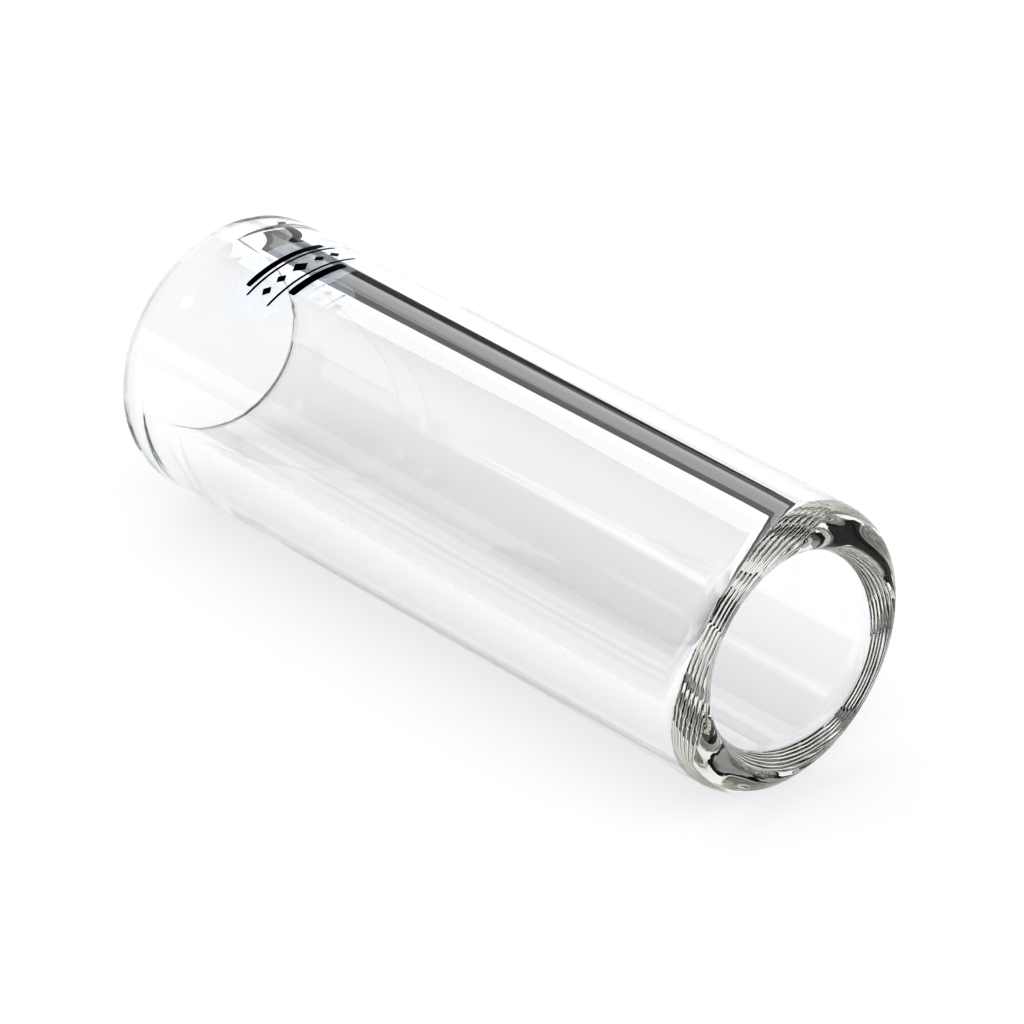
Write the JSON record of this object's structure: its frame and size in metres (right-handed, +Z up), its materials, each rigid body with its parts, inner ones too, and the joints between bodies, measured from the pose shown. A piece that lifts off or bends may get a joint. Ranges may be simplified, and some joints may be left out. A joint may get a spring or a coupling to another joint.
{
  "type": "guitar slide",
  "caption": "Clear thick-walled glass tube, open at both ends with rounded lips, worn on a finger to glide along guitar strings, with a small oval film label.",
  "frame": {"origin": "on the ground under the middle of the tube, which lies on its side", "axes": "+X along the tube's axis, away from the end with the label, +Z up"},
  "size_m": [0.0694, 0.025, 0.0251],
  "materials": {
    "clear_glass": "clear, fire polished",
    "label_film": "thin clear film, a little milky"
  },
  "bodies": {
    "root": {"glass_tube": "clear_glass", "label_film": "label_film"}
  },
  "joints": []
}
